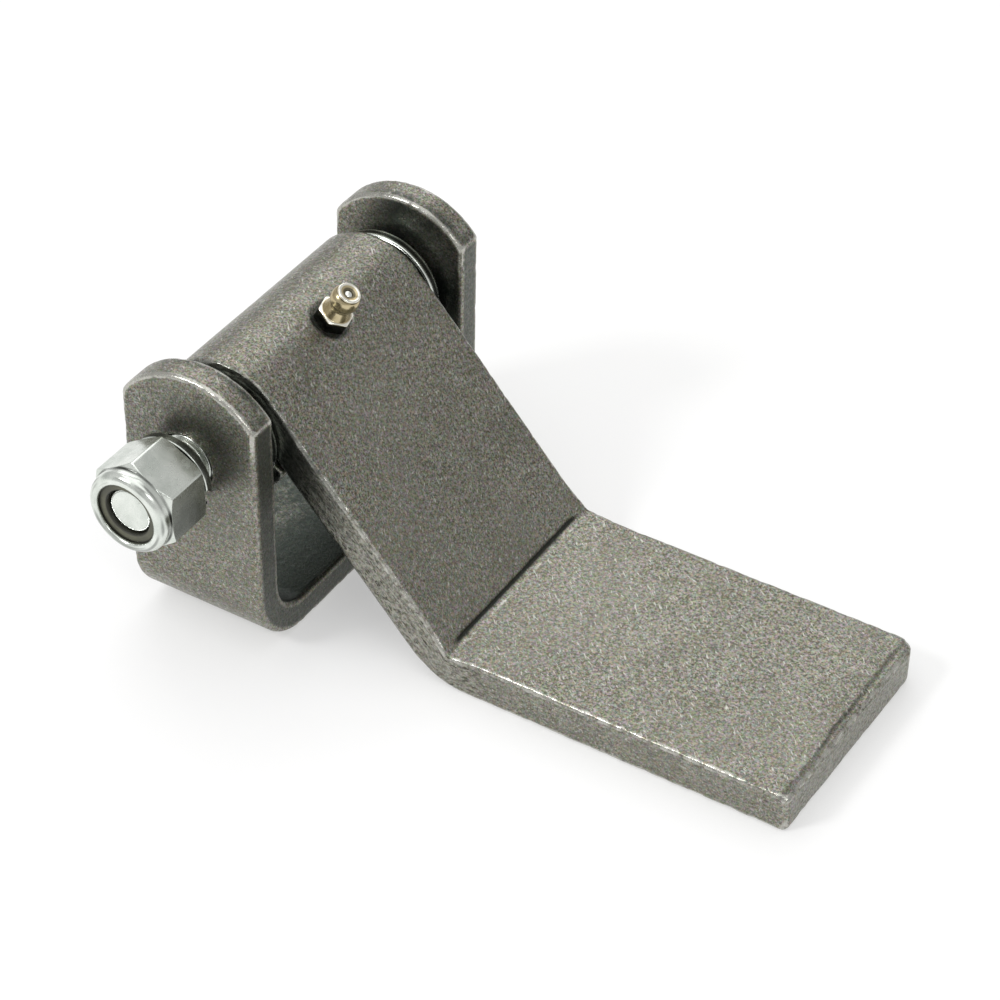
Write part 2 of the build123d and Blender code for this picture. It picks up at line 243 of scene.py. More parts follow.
def along_strap(co):
    """Each point's place in the strap's own bar: along the bar, across it and through its thickness."""
    u, v = co[:, 0] - PIVOT.x, co[:, 2] - PIVOT.z
    middle = EYE_RADIUS - STRAP_THICKNESS / 2
    angle = np.degrees(np.arctan2(v, u))
    past_tangent = (angle - math.degrees(math.pi / 2 - SLOPE)) % 360
    across = u * SLOPE_NORMAL[0] + v * SLOPE_NORMAL[1]
    down = u * SLOPE_DOWN[0] + v * SLOPE_DOWN[1]
    radius = np.hypot(u, v)
    in_eye = (past_tangent < 292) & (radius < EYE_RADIUS + 0.3) & ((down < 0) | (across < EYE_BORE + 0.2))
    to_crease = np.stack((co[:, 0] - CREASE[0], co[:, 2] - CREASE[1]), 1)
    split = np.array((math.cos(SLOPE / 2), -math.sin(SLOPE / 2)))
    in_leaf = (to_crease @ split > 0) & ~in_eye
    along = np.where(in_leaf, SLOPE_LENGTH + to_crease[:, 0], down)
    along = np.where(in_eye, -middle * np.radians(past_tangent), along)
    through = np.where(in_leaf, co[:, 2] - LEAF_TOP + STRAP_THICKNESS / 2, across - middle)
    through = np.where(in_eye, radius - middle, through)
    return np.stack((along, co[:, 1], through), 1)


def dings(co, normal, count, seed, small, large, deepest):
    """Round dents of many sizes scattered over the surface."""
    random = np.random.default_rng(seed)
    depth = np.zeros(len(co))
    for centre in random.choice(len(co), count, replace=False):
        reach = small + (large - small) * random.random() ** 3
        near = np.abs(co - co[centre]).max(1) < reach
        distance = np.linalg.norm(co[near] - co[centre], axis=1) / reach
        facing = np.clip(normal[near] @ normal[centre], 0, 1)
        hollow = np.clip(1 - distance ** 2, 0, 1) ** 2
        depth[near] += deepest * (0.4 + 0.6 * random.random()) * facing * hollow
    return depth


def handling_wear(co, edge, seed, wave, nick, deepest):
    """Depth taken off by rolling and handling: long waves, ripples, and nicks along the edges."""
    waves = 0.05 * (1 + noise(co, wave, seed)) + 0.03 * (1 + noise(co, 5, seed + 1))
    nicks = edge * deepest * np.clip(noise(co, nick, seed + 2) + 0.6 * noise(co, 0.9, seed + 3), 0, 1)
    return waves + nicks


def make_strap():
    obj = dense("strap")
    mesh = obj.data
    co = coordinates(mesh) / MM
    normal = coordinates(mesh, what="normal")
    bar = along_strap(co)
    bend = convexity(mesh, 4)
    side = step(np.abs(normal[:, 1]), 0.55, 0.85) * (np.abs(co[:, 1]) > HALF_WIDTH - 2)
    end = step(normal[:, 0], 0.8, 0.95) * (co[:, 0] > strap_high.x - 1)
    edge = step(bend, EDGE_STARTS, EDGE_FULL)

    # Both sides and the leaf's end were sheared
    shear = side * 0.04 * (1 + noise(bar, (7, 4, 0.6), 5))
    shear += side * 0.08 * np.clip(noise(bar, (4, 4, 1.2), 6), 0, 1)
    across_end = np.stack((co[:, 1], co[:, 0], co[:, 2]), 1)
    shear += end * 0.05 * (1 + noise(across_end, (6, 4, 0.6), 7))
    # The press brake squeezes the plate's edges out beside the crease
    from_crease = np.hypot(co[:, 0] - CREASE[0], co[:, 2] - CREASE[1])
    near_edge = step(np.abs(co[:, 1]), HALF_WIDTH - 5, HALF_WIDTH - 0.4)
    bulge = 0.75 * np.exp(-((from_crease / 5.0) ** 2)) * near_edge
    # and its blade leaves a narrow furrow just above the crease; a painted highlight line runs beside it
    on_slope = (co[:, 0] - CREASE[0]) * -SLOPE_DOWN[0] + (co[:, 2] - CREASE[1]) * -SLOPE_DOWN[1]
    top_side = (bar[:, 2] > 2) & (from_crease < 5)
    ends = step(HALF_WIDTH - 1.5 - np.abs(co[:, 1]), 0, 5)
    width = 0.78 + 0.2 * noise(co, 7, 9) + 0.22 * noise(co, 1.4, 15)
    crease = top_side * ends * np.exp(-(((on_slope - 0.75) / (0.75 * width)) ** 2))
    crease_highlight = top_side * ends * np.exp(-(((on_slope + 0.5) / 0.35) ** 2)) * (0.9 + 0.5 * noise(co, 4, 12))
    # The shear that cut the bar rolled its top edge over at the leaf's end
    tip = strap_high.x - END_SKEW * (0.5 - co[:, 1] / (2 * HALF_WIDTH))
    from_tip = tip - co[:, 0] + 0.3 * noise(co, 5, 13)
    roll_width = 1.9 + 0.9 * step(co[:, 1], -HALF_WIDTH, HALF_WIDTH)
    on_top = (normal[:, 2] > 0.3) & (co[:, 2] > LEAF_TOP - 2)
    rolled = on_top * step(roll_width - from_tip, 0, 0.6)
    lip = on_top * np.exp(-(((from_tip - roll_width) / 0.4) ** 2))
    lip *= np.clip(0.45 + 0.8 * noise(co, 5, 14), 0, 1)
    crease_depth, rolled_depth = 0.45, 0.22
    depth = handling_wear(co, edge, seed=1, wave=14, nick=2.2, deepest=0.16)
    depth += shear
    depth += crease_depth * crease
    depth += rolled_depth * rolled
    depth += dings(co, normal, count=420, seed=11, small=0.5, large=2.2, deepest=0.07)
    carve(mesh, depth)
    moved = coordinates(mesh)
    moved[:, 1] += np.sign(co[:, 1]) * bulge * MM
    mesh.vertices.foreach_set("co", moved.ravel())
    mesh.update()
    put_attribute(mesh, "bar", bar * MM)
    put_attribute(mesh, "edge", np.maximum(edge, crease_highlight))
    # Painted shade darkens the furrow and the lip where the rolled-over edge starts
    put_attribute(mesh, "groove", np.maximum(step(crease, 0.2, 0.7), 0.7 * lip))
    # Tearing from the shear shows most between the eye and the bend
    torn = side * step(SLOPE_LENGTH + 14 - bar[:, 0], 0, 14)
    put_attribute(mesh, "sheared", np.clip(0.35 * side + 0.65 * torn + 0.6 * end, 0, 1))
    # Painted shade darkens the underside, the flanks beside the eye and the fitting's seat
    under = 0.35 * step(-bar[:, 2], 2.5, 4.2) * step(SLOPE_LENGTH + 15 - bar[:, 0], 0, 30)
    from_pivot = from_pivot_axis(co)
    flank = step(np.abs(co[:, 1]), HALF_WIDTH - 1.2, HALF_WIDTH - 0.2) * step(from_pivot, 42, 14)
    from_axis = np.linalg.norm(np.cross(co - np.array(PIVOT), FITTING_AXIS), axis=1)
    seat = 0.7 * step(from_axis, 5.2, 4.4) * (from_pivot > EYE_BORE + 2) * (co[:, 0] > PIVOT.x)
    patchy = 0.75 + 0.25 * noise(co, 3, 8)
    put_attribute(mesh, "painted_steel_shade", np.clip(np.maximum(np.maximum(under, flank), seat) * patchy, 0, 1))
    return obj


def make_bracket():
    obj = dense("bracket")
    mesh = obj.data
    co = coordinates(mesh) / MM
    normal = coordinates(mesh, what="normal")
    bend = convexity(mesh, 4)
    side = step(np.abs(normal[:, 0]), 0.6, 0.85)
    edge = step(bend, EDGE_STARTS, EDGE_FULL)
    upright = step(np.abs(co[:, 1]), 20, 34)
    along = co[:, 2] * upright + co[:, 1] * (1 - upright)
    through = co[:, 1] * upright + co[:, 2] * (1 - upright)
    bar = np.stack((along, co[:, 0], through), 1)
    depth = handling_wear(co, edge, seed=21, wave=13, nick=2.4, deepest=0.14)
    depth += side * 0.02 * (1 + noise(bar, (8, 4, 0.8), 25))
    depth += dings(co, normal, count=260, seed=31, small=0.5, large=2.0, deepest=0.07)
    carve(mesh, depth)
    put_attribute(mesh, "bar", bar * MM)
    # Painted shade in the inner bends of the bar
    put_attribute(mesh, "groove", step(-bend, 0.12, 0.7))
    put_attribute(mesh, "sheared", 0.15 * side)
    # Painted shade darkens the inside of the U and the bar's sawn sides
    inside = step(bracket_high.y - 3.6 - np.abs(co[:, 1]), 0, 2.4) * step(co[:, 2], 3.6, 5.6)
    high = step(co[:, 2], PIVOT.z - 16, PIVOT.z + 14)
    speckled = 0.5 + 0.5 * noise(co, 6, 27) + 0.4 * noise(co, 1.2, 28)
    # and is lifted, in speckles, high up the ears and toward the open back of its floor, where more light
    # reaches
    open_floor = 0.65 * step(4 - co[:, 0], 0, 9) * step(14 - co[:, 2], 0, 4)
    back_top = step(2 - co[:, 0], 0, 11) * high
    shade_lifted = np.maximum(np.maximum(high, open_floor) * np.clip(speckled, 0, 1), back_top)
    flat = 1 - step(np.abs(bend), 0.03, 0.12)
    side_shade = 0.74 * side * flat * (np.abs(co[:, 0]) > 15)
    # Painted highlight: the edges' brightening is strongest along the ears' tops and weaker low down
    edge = edge * (0.55 + 0.75 * step(co[:, 2], PIVOT.z + 3, PIVOT.z + 13))
    bare = np.minimum(edge, 1)
    u_and_side_shade = np.maximum(inside * (1 - 0.8 * shade_lifted) * (1 - side) * (1 - 0.7 * bare), side_shade)
    # Painted shade darkens the near ear's outer face a little all over, and most round the nut, where the
    # nut's dark reflection falls
    outer_face = co[:, 1] < bracket_low.y + 1
    near_nut = step(from_pivot_axis(co) + 2 * noise(co, 8, 29), 24, 11)
    shade_round_nut = (0.05 + 0.24 * near_nut) * outer_face * (1 - bare)
    put_attribute(mesh, "edge", edge)
    put_attribute(mesh, "painted_steel_shade", np.clip(np.maximum(u_and_side_shade, shade_round_nut), 0, 1))
    return obj


# ---------------------------------------------------------------- turned and hexagonal pieces

def sampled(outline, spacing):
    """The outline's corners joined by points about spacing apart."""
    points = []
    for a, b in zip(outline, outline[1:]):
        length = math.dist(a, b)
        steps = max(1, round(length / spacing))
        for k in range(steps):
            t = k / steps
            points.append((a[0] + (b[0] - a[0]) * t, a[1] + (b[1] - a[1]) * t))
    points.append(outline[-1])
    return points


def arc(centre, radius, start, end, pieces):
    """Points on an arc of the outline, angles in degrees from outward toward the top."""
    return [
        (
            centre[0] + radius * math.cos(math.radians(start + (end - start) * k / pieces)),
            centre[1] + radius * math.sin(math.radians(start + (end - start) * k / pieces)),
        )
        for k in range(pieces + 1)
    ]


def hexagon_radius(angle, across_flats, rounding):
    """Distance from the axis to a hexagon with softened corners, one of them at angle zero."""
    flat = across_flats / 2
    sides = [(angle - math.radians(30 + 60 * k) + math.pi) % TURN - math.pi for k in range(6)]
    reach = [np.where(np.abs(s) < 1.2, flat / np.cos(np.clip(s, -1.2, 1.2)), 99.0) for s in sides]
    reach = np.sort(np.stack(reach), axis=0)
    return soft_min(reach[0], reach[1], rounding)


def turned(name, outline, turns, place, reshape=None, closed=True):
    """A lathe piece. Its outline is (radius, height), from inside the bottom round to inside the top."""
    outline = np.array(outline)
    angles = np.arange(turns) * TURN / turns
    radius = np.repeat(outline[:, :1], turns, 1)
    height = np.repeat(outline[:, 1:], turns, 1)
    if reshape:
        radius, height = reshape(radius, height, angles[None, :])
    points = np.stack((radius * np.cos(angles), radius * np.sin(angles), height), -1).reshape(-1, 3)
    rows = len(outline)
    faces = []
    for row in range(rows if closed else rows - 1):
        after = (row + 1) % rows
        for k in range(turns):
            n = (k + 1) % turns
            faces.append((row * turns + k, row * turns + n, after * turns + n, after * turns + k))
    if not closed:
        faces.append(tuple(reversed(range(turns))))
        faces.append(tuple((rows - 1) * turns + k for k in range(turns)))
    return new_mesh(name, place(points), faces)


def tube_faces(rings, around):
    """Faces of a tube of rings with around points in each, closed at both ends."""
    faces = []
    for k in range(rings - 1):
        for m in range(around):
            n = (m + 1) % around
            faces.append((k * around + m, k * around + n, (k + 1) * around + n, (k + 1) * around + m))
    faces.append(tuple(reversed(range(around))))
    faces.append(tuple((rings - 1) * around + m for m in range(around)))
    return faces


def on_bolt(y, toward_head, turn=0.0):
    """Places a piece made along +Z on the pivot axis, with its foot at y."""
    way = 1 if toward_head else -1
    c, s = math.cos(turn), math.sin(turn)

    def place(p):
        x = p[:, 0] * c - p[:, 1] * s
        up = p[:, 0] * s + p[:, 1] * c
        return np.stack((PIVOT.x - way * x, y + way * p[:, 2], PIVOT.z + up), 1)

    return place


def make_lock_nut():
    """Lock nut, from its foot up: hexagon, then a thin collar rolled in over the nylon ring."""
    height = nut_high.y - nut_low.y
    hexagon_top = 11.2
    collar, wall, roll = 9.5, 1.15, 1.9
    bore, floor = 6.4, 10.2
    # The outline runs past the hexagon's corners, and the flats cut it back
    foot, wide = 10.3, 12.0
    base = height - roll
    chamfer_below = (wide - foot) * CHAMFER
    chamfer_above = hexagon_top - (wide - collar) * CHAMFER
    outline = sampled([(bore + 0.6, 0), (foot, 0), (wide, chamfer_below)], 0.12)
    outline += sampled([(wide, chamfer_below), (wide, chamfer_above - 0.25)], 0.3)[1:]
    to_collar = [(collar + 0.12, hexagon_top), (collar, hexagon_top + 0.25)]
    outline += sampled([(wide, chamfer_above), *to_collar], 0.12)
    outline += sampled([(collar, hexagon_top + 0.3), (collar, base)], 0.3)
    outline += arc((collar - roll, base), roll, 0, 90, 14)[1:]
    outline += arc((collar - roll, height - wall / 2), wall / 2, 90, 270, 10)[1:]
    outline += arc((collar - roll, base), roll - wall, 90, 0, 8)[1:]
    outline += [(collar - wall, floor), (bore, floor), (bore, 0.6)]
    wobble = 0.03
    core = 8.9

    def shape(radius, up, angle):
        hexagon = hexagon_radius(angle, WRENCH_FLATS, 0.5)
        outside = (radius > core) & (up < hexagon_top + 0.1)
        r = np.where(outside, soft_min(radius, np.broadcast_to(hexagon, radius.shape), 0.22), radius)
        # The rolled lip is not perfectly round
        lip = (up > base) & (radius < collar)
        return r + np.where(lip, wobble * np.sin(3 * angle + 1) + wobble * np.sin(5 * angle), 0), up

    nut = turned("lock_nut_detail", outline, 540, on_bolt(nut_high.y, False, HEX_TURN), shape)
    # Painted shade darkens the one flat that faces +X, most toward its lower end
    co = coordinates(nut.data) / MM
    normal = coordinates(nut.data, what="normal")
    on_hexagon = step(co[:, 1], nut_high.y - hexagon_top, nut_high.y - hexagon_top + 0.6)
    lower = step(PIVOT.z + 3 - co[:, 2], 0, 6)
    shade_on_nut = (0.48 + 0.24 * lower) * step(normal[:, 0], 0.86, 0.97) * on_hexagon
    shade_on_nut *= 0.9 + 0.2 * noise(co, 4, 41)
    # and patches of painted shade lie round the collar
    out = co - np.array(PIVOT)
    radius = from_pivot_axis(co)
    round_collar = np.arctan2(out[:, 2], out[:, 0]) * collar
    marks = noise(np.stack((round_collar, out[:, 1], radius), 1), (5, 0.6, 0.6), 42)
    shade_on_nut += 0.55 * step(marks, 0.0, 0.6) * step(nut_low.y + 3.0 - co[:, 1], 0, 0.3) * (radius > 7.3)
    # Painted shade darkens the corner between collar and hexagon
    up = nut_high.y - co[:, 1]
    corner = step(np.abs(up - hexagon_top - 0.12), 0.4, 0.1) * step(collar + 0.45 - radius, 0, 0.25)
    shade_on_nut += corner * (0.7 + 0.5 * noise(co, 3, 43))
    put_attribute(nut.data, "painted_shade", np.clip(shade_on_nut, 0, 1))
    return nut


def make_nylon_insert():
    low, high = size_box("nylon_insert")
    outer = (high.x - low.x) / 2
    inner, mouth = 6.37, 5.35
    thick = high.y - low.y
    shoulder = 1.25
    outline = sampled([(inner, 0), (outer, 0), (outer, thick - shoulder)], 0.4)
    outline += arc((outer - shoulder, thick - shoulder), shoulder, 0, 90, 8)[1:]
    outline += sampled([(outer - shoulder, thick), (mouth + 0.4, thick)], 0.12)[1:]
    outline += arc((mouth + 0.35, thick - 0.35), 0.35, 90, 180, 6)
    outline += [(mouth, 1.9), (inner, 0.85)]
    ring = turned("nylon_insert_detail", outline, 240, on_bolt(high.y, False))
    # Painted shade darkens the ring under the collar's lip and against the bolt
    radius = from_pivot_axis(coordinates(ring.data) / MM)
    shaded = step(radius, 6.55, 6.95) + step(mouth + 0.4 - radius, 0, 0.35)
    put_attribute(ring.data, "painted_shade", 0.85 * np.clip(shaded, 0, 1))
    return ring


def make_pivot_bolt():
    """Hex bolt, made from the tip of its thread up to its head."""
    # Radii: centre of both end faces, end of the thread, shank, washer face, head's chamfer, past its corners
    centre, end, shank, face, crown, wide = 0.4, 4.93, 6.35, 9.0, 9.2, 12
    threaded, head, tip_round = 31.75, 7.94, 0.25
    under_head = -bolt_low.y + 42.75
    top = under_head + head
    outline = sampled([(centre, 0.0), (end - tip_round, 0.0)], 0.5)
    outline += arc((end - tip_round, tip_round), tip_round, -90, -30, 4)
    outline += sampled([(end + 0.1, 0.25), (shank - 0.05, 1.5), (shank - 0.05, threaded)], 0.11)
    outline += sampled([(shank, threaded + 0.4), (shank, under_head - 0.3), (shank + 0.5, under_head)], 1.0)
    outline += [(face, under_head), (face, under_head + 0.4)]
    outline += sampled([(face + 0.6, under_head + 0.4), (wide, under_head + 0.5)], 0.15)
    outline += sampled([(wide, under_head + 0.6), (wide, top - (wide - crown) * CHAMFER), (crown, top)], 0.15)
    outline += sampled([(face, top), (centre, top)], 0.6)
    dish, dish_depth = 8, 0.12

    def shape(radius, up, angle):
        in_thread = step(up, 0.2, 0.9) * step(up, threaded, threaded - 2.5)
        phase = (up / THREAD_PITCH + angle / TURN) % 1
        groove = THREAD_DEPTH * np.clip(1.25 - np.abs(phase - 0.5) * 3.2, 0, 1)
        cut = np.where(radius > end, in_thread * groove, 0)
        # The thread runs out into the chamfer at the tip
        r = np.where(up < threaded + 0.2, np.minimum(radius, shank - cut), radius)
        hexagon = np.broadcast_to(hexagon_radius(angle, WRENCH_FLATS, 0.5), radius.shape)
        in_head = up > under_head + 0.35
        hollow = np.where((up > top - 0.01) & (radius < dish), dish_depth * (1 - (radius / dish) ** 2), 0)
        return np.where(in_head, soft_min(r, hexagon, 0.25), r), up - hollow

    place = on_bolt(bolt_low.y, True, HEX_TURN)
    return turned("pivot_bolt_detail", outline, 300, place, shape, closed=False)


def make_lock_washer():
    """One turn of wire with its split end lifted."""
    low, high = size_box("lock_washer")
    inner, outer = 6.55, 9.5
    thick = 2.0
    lift = high.y - low.y - thick
    split, gap = math.radians(-22), math.radians(20)
    ring_steps, corner = 150, 0.35
    section = []
    half_w, half_t = (outer - inner) / 2, thick / 2
    for cx, cz, start in ((1, 1, 0), (-1, 1, 90), (-1, -1, 180), (1, -1, 270)):
        section += arc((cx * (half_w - corner), cz * (half_t - corner)), corner, start, start + 90, 5)
    section = np.array(section)
    middle = (inner + outer) / 2
    points = []
    for k in range(ring_steps + 1):
        # The wire was sheared on a slant, so the cut leans
        slant = section[:, 1] / half_t * 0.10 * (1 if k in (0, ring_steps) else 0)
        angle = (TURN - gap) * k / ring_steps + slant
        r = middle + section[:, 0]
        up = half_t + section[:, 1] + lift * k / ring_steps
        points.append(np.stack((r * np.cos(angle), r * np.sin(angle), up), 1))
    place = on_bolt(low.y, True, math.pi - split)
    faces = tube_faces(ring_steps + 1, len(section))
    washer = new_mesh("lock_washer_detail", place(np.concatenate(points)), faces)
    # Painted shade darkens the wire's flats; its corners are left bright
    across_corner = np.array((1.0, 0.3, 0.0, 0.0, 0.3, 1.0))
    put_attribute(washer.data, "painted_shade", 0.8 * np.tile(across_corner, 4 * (ring_steps + 1)))
    return washer


def make_thrust_washer(node):
    low, high = size_box(node)
    inner, outer = 6.75, (high.x - low.x) / 2
    thick = high.y - low.y
    # Rounding of its corners, at the bore and at the rim
    bore_soft, soft = 0.25, 0.4
    outline = arc((inner + bore_soft, bore_soft), bore_soft, 180, 270, 4)
    outline += sampled([(inner + 0.5, 0), (outer - soft, 0)], 0.8)
    outline += arc((outer - soft, soft), soft, -90, 0, 5)
    outline += sampled([(outer, soft + 0.1), (outer, thick - soft - 0.1)], 0.2)
    outline += arc((outer - soft, thick - soft), soft, 0, 90, 5)
    outline += sampled([(outer - soft, thick), (inner + 0.5, thick)], 0.8)
    outline += arc((inner + bore_soft, thick - bore_soft), bore_soft, 90, 180, 4)
    washer = turned(node + "_detail", outline, 240, on_bolt(low.y, True))
    # Painted shade darkens the washer all but the rounded corners of its rim, which stay bright
    co = coordinates(washer.data) / MM
    past_middle = np.abs(co[:, 1] - (low.y + high.y) / 2)
    rim = np.hypot(from_pivot_axis(co) - outer + soft, past_middle - thick / 2 + soft)
    put_attribute(washer.data, "painted_shade", 0.93 * step(rim, soft + 0.02, soft + 0.15))
    return washer


def on_spot_face(p):
    """Places a piece made along +Z on the spot face of the eye."""
    turn = math.radians(13)
    c, s = math.cos(turn), math.sin(turn)
    a = p[:, 0] * c - p[:, 1] * s
    b = p[:, 0] * s + p[:, 1] * c
    out = FITTING_SEAT + p[:, 2]
    ca, sa = math.cos(FITTING_ANGLE), math.sin(FITTING_ANGLE)
    # a runs along the pivot, b along the eye's circumference
    return np.stack((PIVOT.x + out * ca - b * sa, a, PIVOT.z + out * sa + b * ca), 1)


def make_grease_fitting():
    """Grease fitting, from its stem inside the eye up to the rim of its mouth. Heights are above the seat."""
    # Radii: passage, its narrow ends, the dish round the mouth
    bore, outlet, mouth, dish = 1.4, 0.8, 0.95, 2.1
    # stem, neck, the head where broadest and its nose, the hexagon's chamfer and past its corners
    stem, neck, head, nose, crown, wide = 3.1, 2.5, 3.2, 2.55, 3.5, 4.6
    flats, dome = 7.14, 2.6
    # Heights: stem's end, hexagon's top, the neck's foot, the head where broadest, the rim
    foot, hexagon_top, shoulder, broad, tip = -5.0, 3.2, 5.2, 7.2, 10.1
    outline = [(bore, foot + 1), (outlet, foot + 1), (outlet, foot)]
    outline += [(stem - 0.4, foot), (stem, foot + 0.4), (stem, 0.0)]
    outline += sampled([(3.3, 0), (4.0, 0), (wide, 0.35)], 0.12)
    chamfer_foot = hexagon_top - (wide - crown) * CHAMFER
    outline += sampled([(wide, 0.45), (wide, chamfer_foot), (crown, hexagon_top)], 0.1)
    outline += sampled([(3.2, hexagon_top), (neck, shoulder)], 0.1)
    outline += sampled([(neck, hexagon_top + 2.1), (neck, broad - 1.25), (head - 0.15, broad - 0.35)], 0.1)
    outline += arc((head - 0.2, broad - 0.2), 0.2, -40, 0, 4)
    outline += sampled([(head, broad), (head, broad + 0.5)], 0.1)
    outline += arc((head - dome, broad + 0.5), dome, 2, 42, 16)
    outline += sampled([(nose + 0.08, tip - 0.55), (nose + 0.02, tip - 0.25)], 0.1)
    outline += arc((nose - 0.25, tip - 0.26), 0.26, 0, 90, 6)
    outline += sampled([(dish + 0.1, tip), (dish, tip - 0.03)], 0.1)
    outline += sampled([(dish - 0.1, tip - 0.08), (mouth, tip - 0.4)], 0.1)
    outline += [(mouth, tip - 0.6), (bore, tip - 0.75)]

    def shape(radius, up, angle):
        hexagon = np.broadcast_to(hexagon_radius(angle, flats, 0.3), radius.shape)
        in_hexagon = (up > -0.01) & (up < hexagon_top + 0.01) & (radius > 3.0)
        return np.where(in_hexagon, soft_min(radius, hexagon, 0.15), radius), up

    fitting = turned("grease_fitting_detail", outline, 240, on_spot_face, shape)
    # Painted shade darkens the hexagon's sides and the neck, and also inside the mouth and under its rim
    co = coordinates(fitting.data) / MM - np.array(PIVOT)
    height = co @ FITTING_AXIS - FITTING_SEAT
    radius = np.linalg.norm(np.cross(co, FITTING_AXIS), axis=1)
    sides = step(radius, 3.3, 3.5) * step(hexagon_top - height, 0.25, 0.6)
    groove = step(np.abs(height - broad + 0.75), 0.75, 0.35) * step(3.3 - radius, 0, 0.25)
    inside_mouth = step(1.55 - radius, 0.0, 0.25) * (height > tip - 1)
    under_rim = step(np.abs(height - tip + 0.62), 0.3, 0.1) * (radius > 2)
    shaded = sides + groove + 0.72 * inside_mouth + 0.3 * under_rim
    put_attribute(fitting.data, "painted_shade", np.clip(shaded, 0, 1))
    # Painted highlight brightens the rim of the mouth and the hexagon's top edge
    rim = step(radius, dish - 0.3, dish - 0.1) * step(height, tip - 0.35, tip - 0.2)
    corner = step(np.abs(height - hexagon_top + 0.1), 0.35, 0.1) * step(radius, 3.35, 3.5)
    put_attribute(fitting.data, "painted_highlight", np.clip(rim + corner, 0, 1))
    return fitting


def make_ball():
    low, high = size_box("fitting_ball")
    centre, radius = (low + high) / 2, (high.x - low.x) / 2
    bpy.ops.mesh.primitive_ico_sphere_add(subdivisions=5, radius=radius * MM, location=centre * MM)
    ball = bpy.context.object
    bpy.ops.object.transform_apply(location=True)
    ball.name = "fitting_ball_detail"
    ball.data.shade_smooth()
    return ball


def make_spring():
    """The coil under the ball, its ends resting in the fitting and on the ball."""
    coil, coils = 1.0, 8
    per_turn, around = 40, 12
    angle = np.arange(coils * per_turn + 1) * TURN / per_turn
    rise = SPRING_FOOT + (SPRING_TOP - SPRING_FOOT) * angle / angle[-1]
    out = np.stack((np.cos(angle), np.sin(angle), 0 * angle), 1)
    middle = coil * out + np.outer(rise, (0, 0, 1))
    t = np.arange(around) * TURN / around
    ring = np.cos(t)[None, :, None] * out[:, None, :] + np.sin(t)[None, :, None] * np.array((0, 0, 1.0))
    points = (middle[:, None, :] + SPRING_WIRE * ring).reshape(-1, 3)
    return new_mesh("fitting_spring_detail", on_spot_face(points), tube_faces(len(angle), around))


# ---------------------------------------------------------------- materials

# Steel
SCALE_DARK, SCALE_LIGHT = (0.085, 0.082, 0.062), (0.33, 0.323, 0.275)
GRAIN_DARK, GRAIN_LIGHT = (0.075, 0.072, 0.054), (0.40, 0.395, 0.345)
CLOUD_DARK, PATCH_LIGHT = (0.12, 0.116, 0.09), (0.27, 0.265, 0.225)
PIT, SCRATCH = (0.05, 0.048, 0.038), (0.58, 0.58, 0.53)
GREENISH, REDDISH = (0.86, 1.04, 0.92), (1.15, 0.96, 1.06)
YELLOWISH, BLUISH = (1.0, 1.0, 0.82), (1.0, 1.0, 1.17)
STREAK_DARK, STREAK_LIGHT = (0.085, 0.082, 0.065), (0.47, 0.465, 0.41)
# The furrow's colour is painted shade
TORN, FURROW_SHADE = (0.035, 0.034, 0.026), (0.022, 0.026, 0.022)
# The rubbed colour is edge wear and painted highlight; the blue-black one is painted shade
EDGE_WEAR_AND_HIGHLIGHT, STEEL_SHADE = (0.58, 0.575, 0.53), (0.027, 0.037, 0.032)
# Plating, nylon, ball and floor
ZINC_LIGHT, ZINC_DARK, ZINC_HAZE = (0.80, 0.83, 0.78), (0.62, 0.66, 0.61), 0.24
GOLD_LIGHT, GOLD_DARK, GOLD_HAZE = (0.62, 0.54, 0.35), (0.38, 0.30, 0.16), 0.20
# The second colour is a painted highlight
PLATING_SPOT, PLATING_HIGHLIGHT = (0.25, 0.25, 0.22), (0.90, 0.88, 0.79)
# Painted shade colours for the plating and the nylon
PLATING_SHADE, NYLON_SHADE = (0.02, 0.021, 0.018), (0.012, 0.012, 0.009)
NYLON_DARK, NYLON_LIGHT = (0.062, 0.063, 0.042), (0.115, 0.115, 0.077)
BALL_DARK, BALL_LIGHT = (0.76, 0.77, 0.72), (0.90, 0.91, 0.86)
FLOOR_DARK, FLOOR_LIGHT, FLOOR_GLOW = (0.53, 0.53, 0.525), (0.55, 0.55, 0.55), 0.42


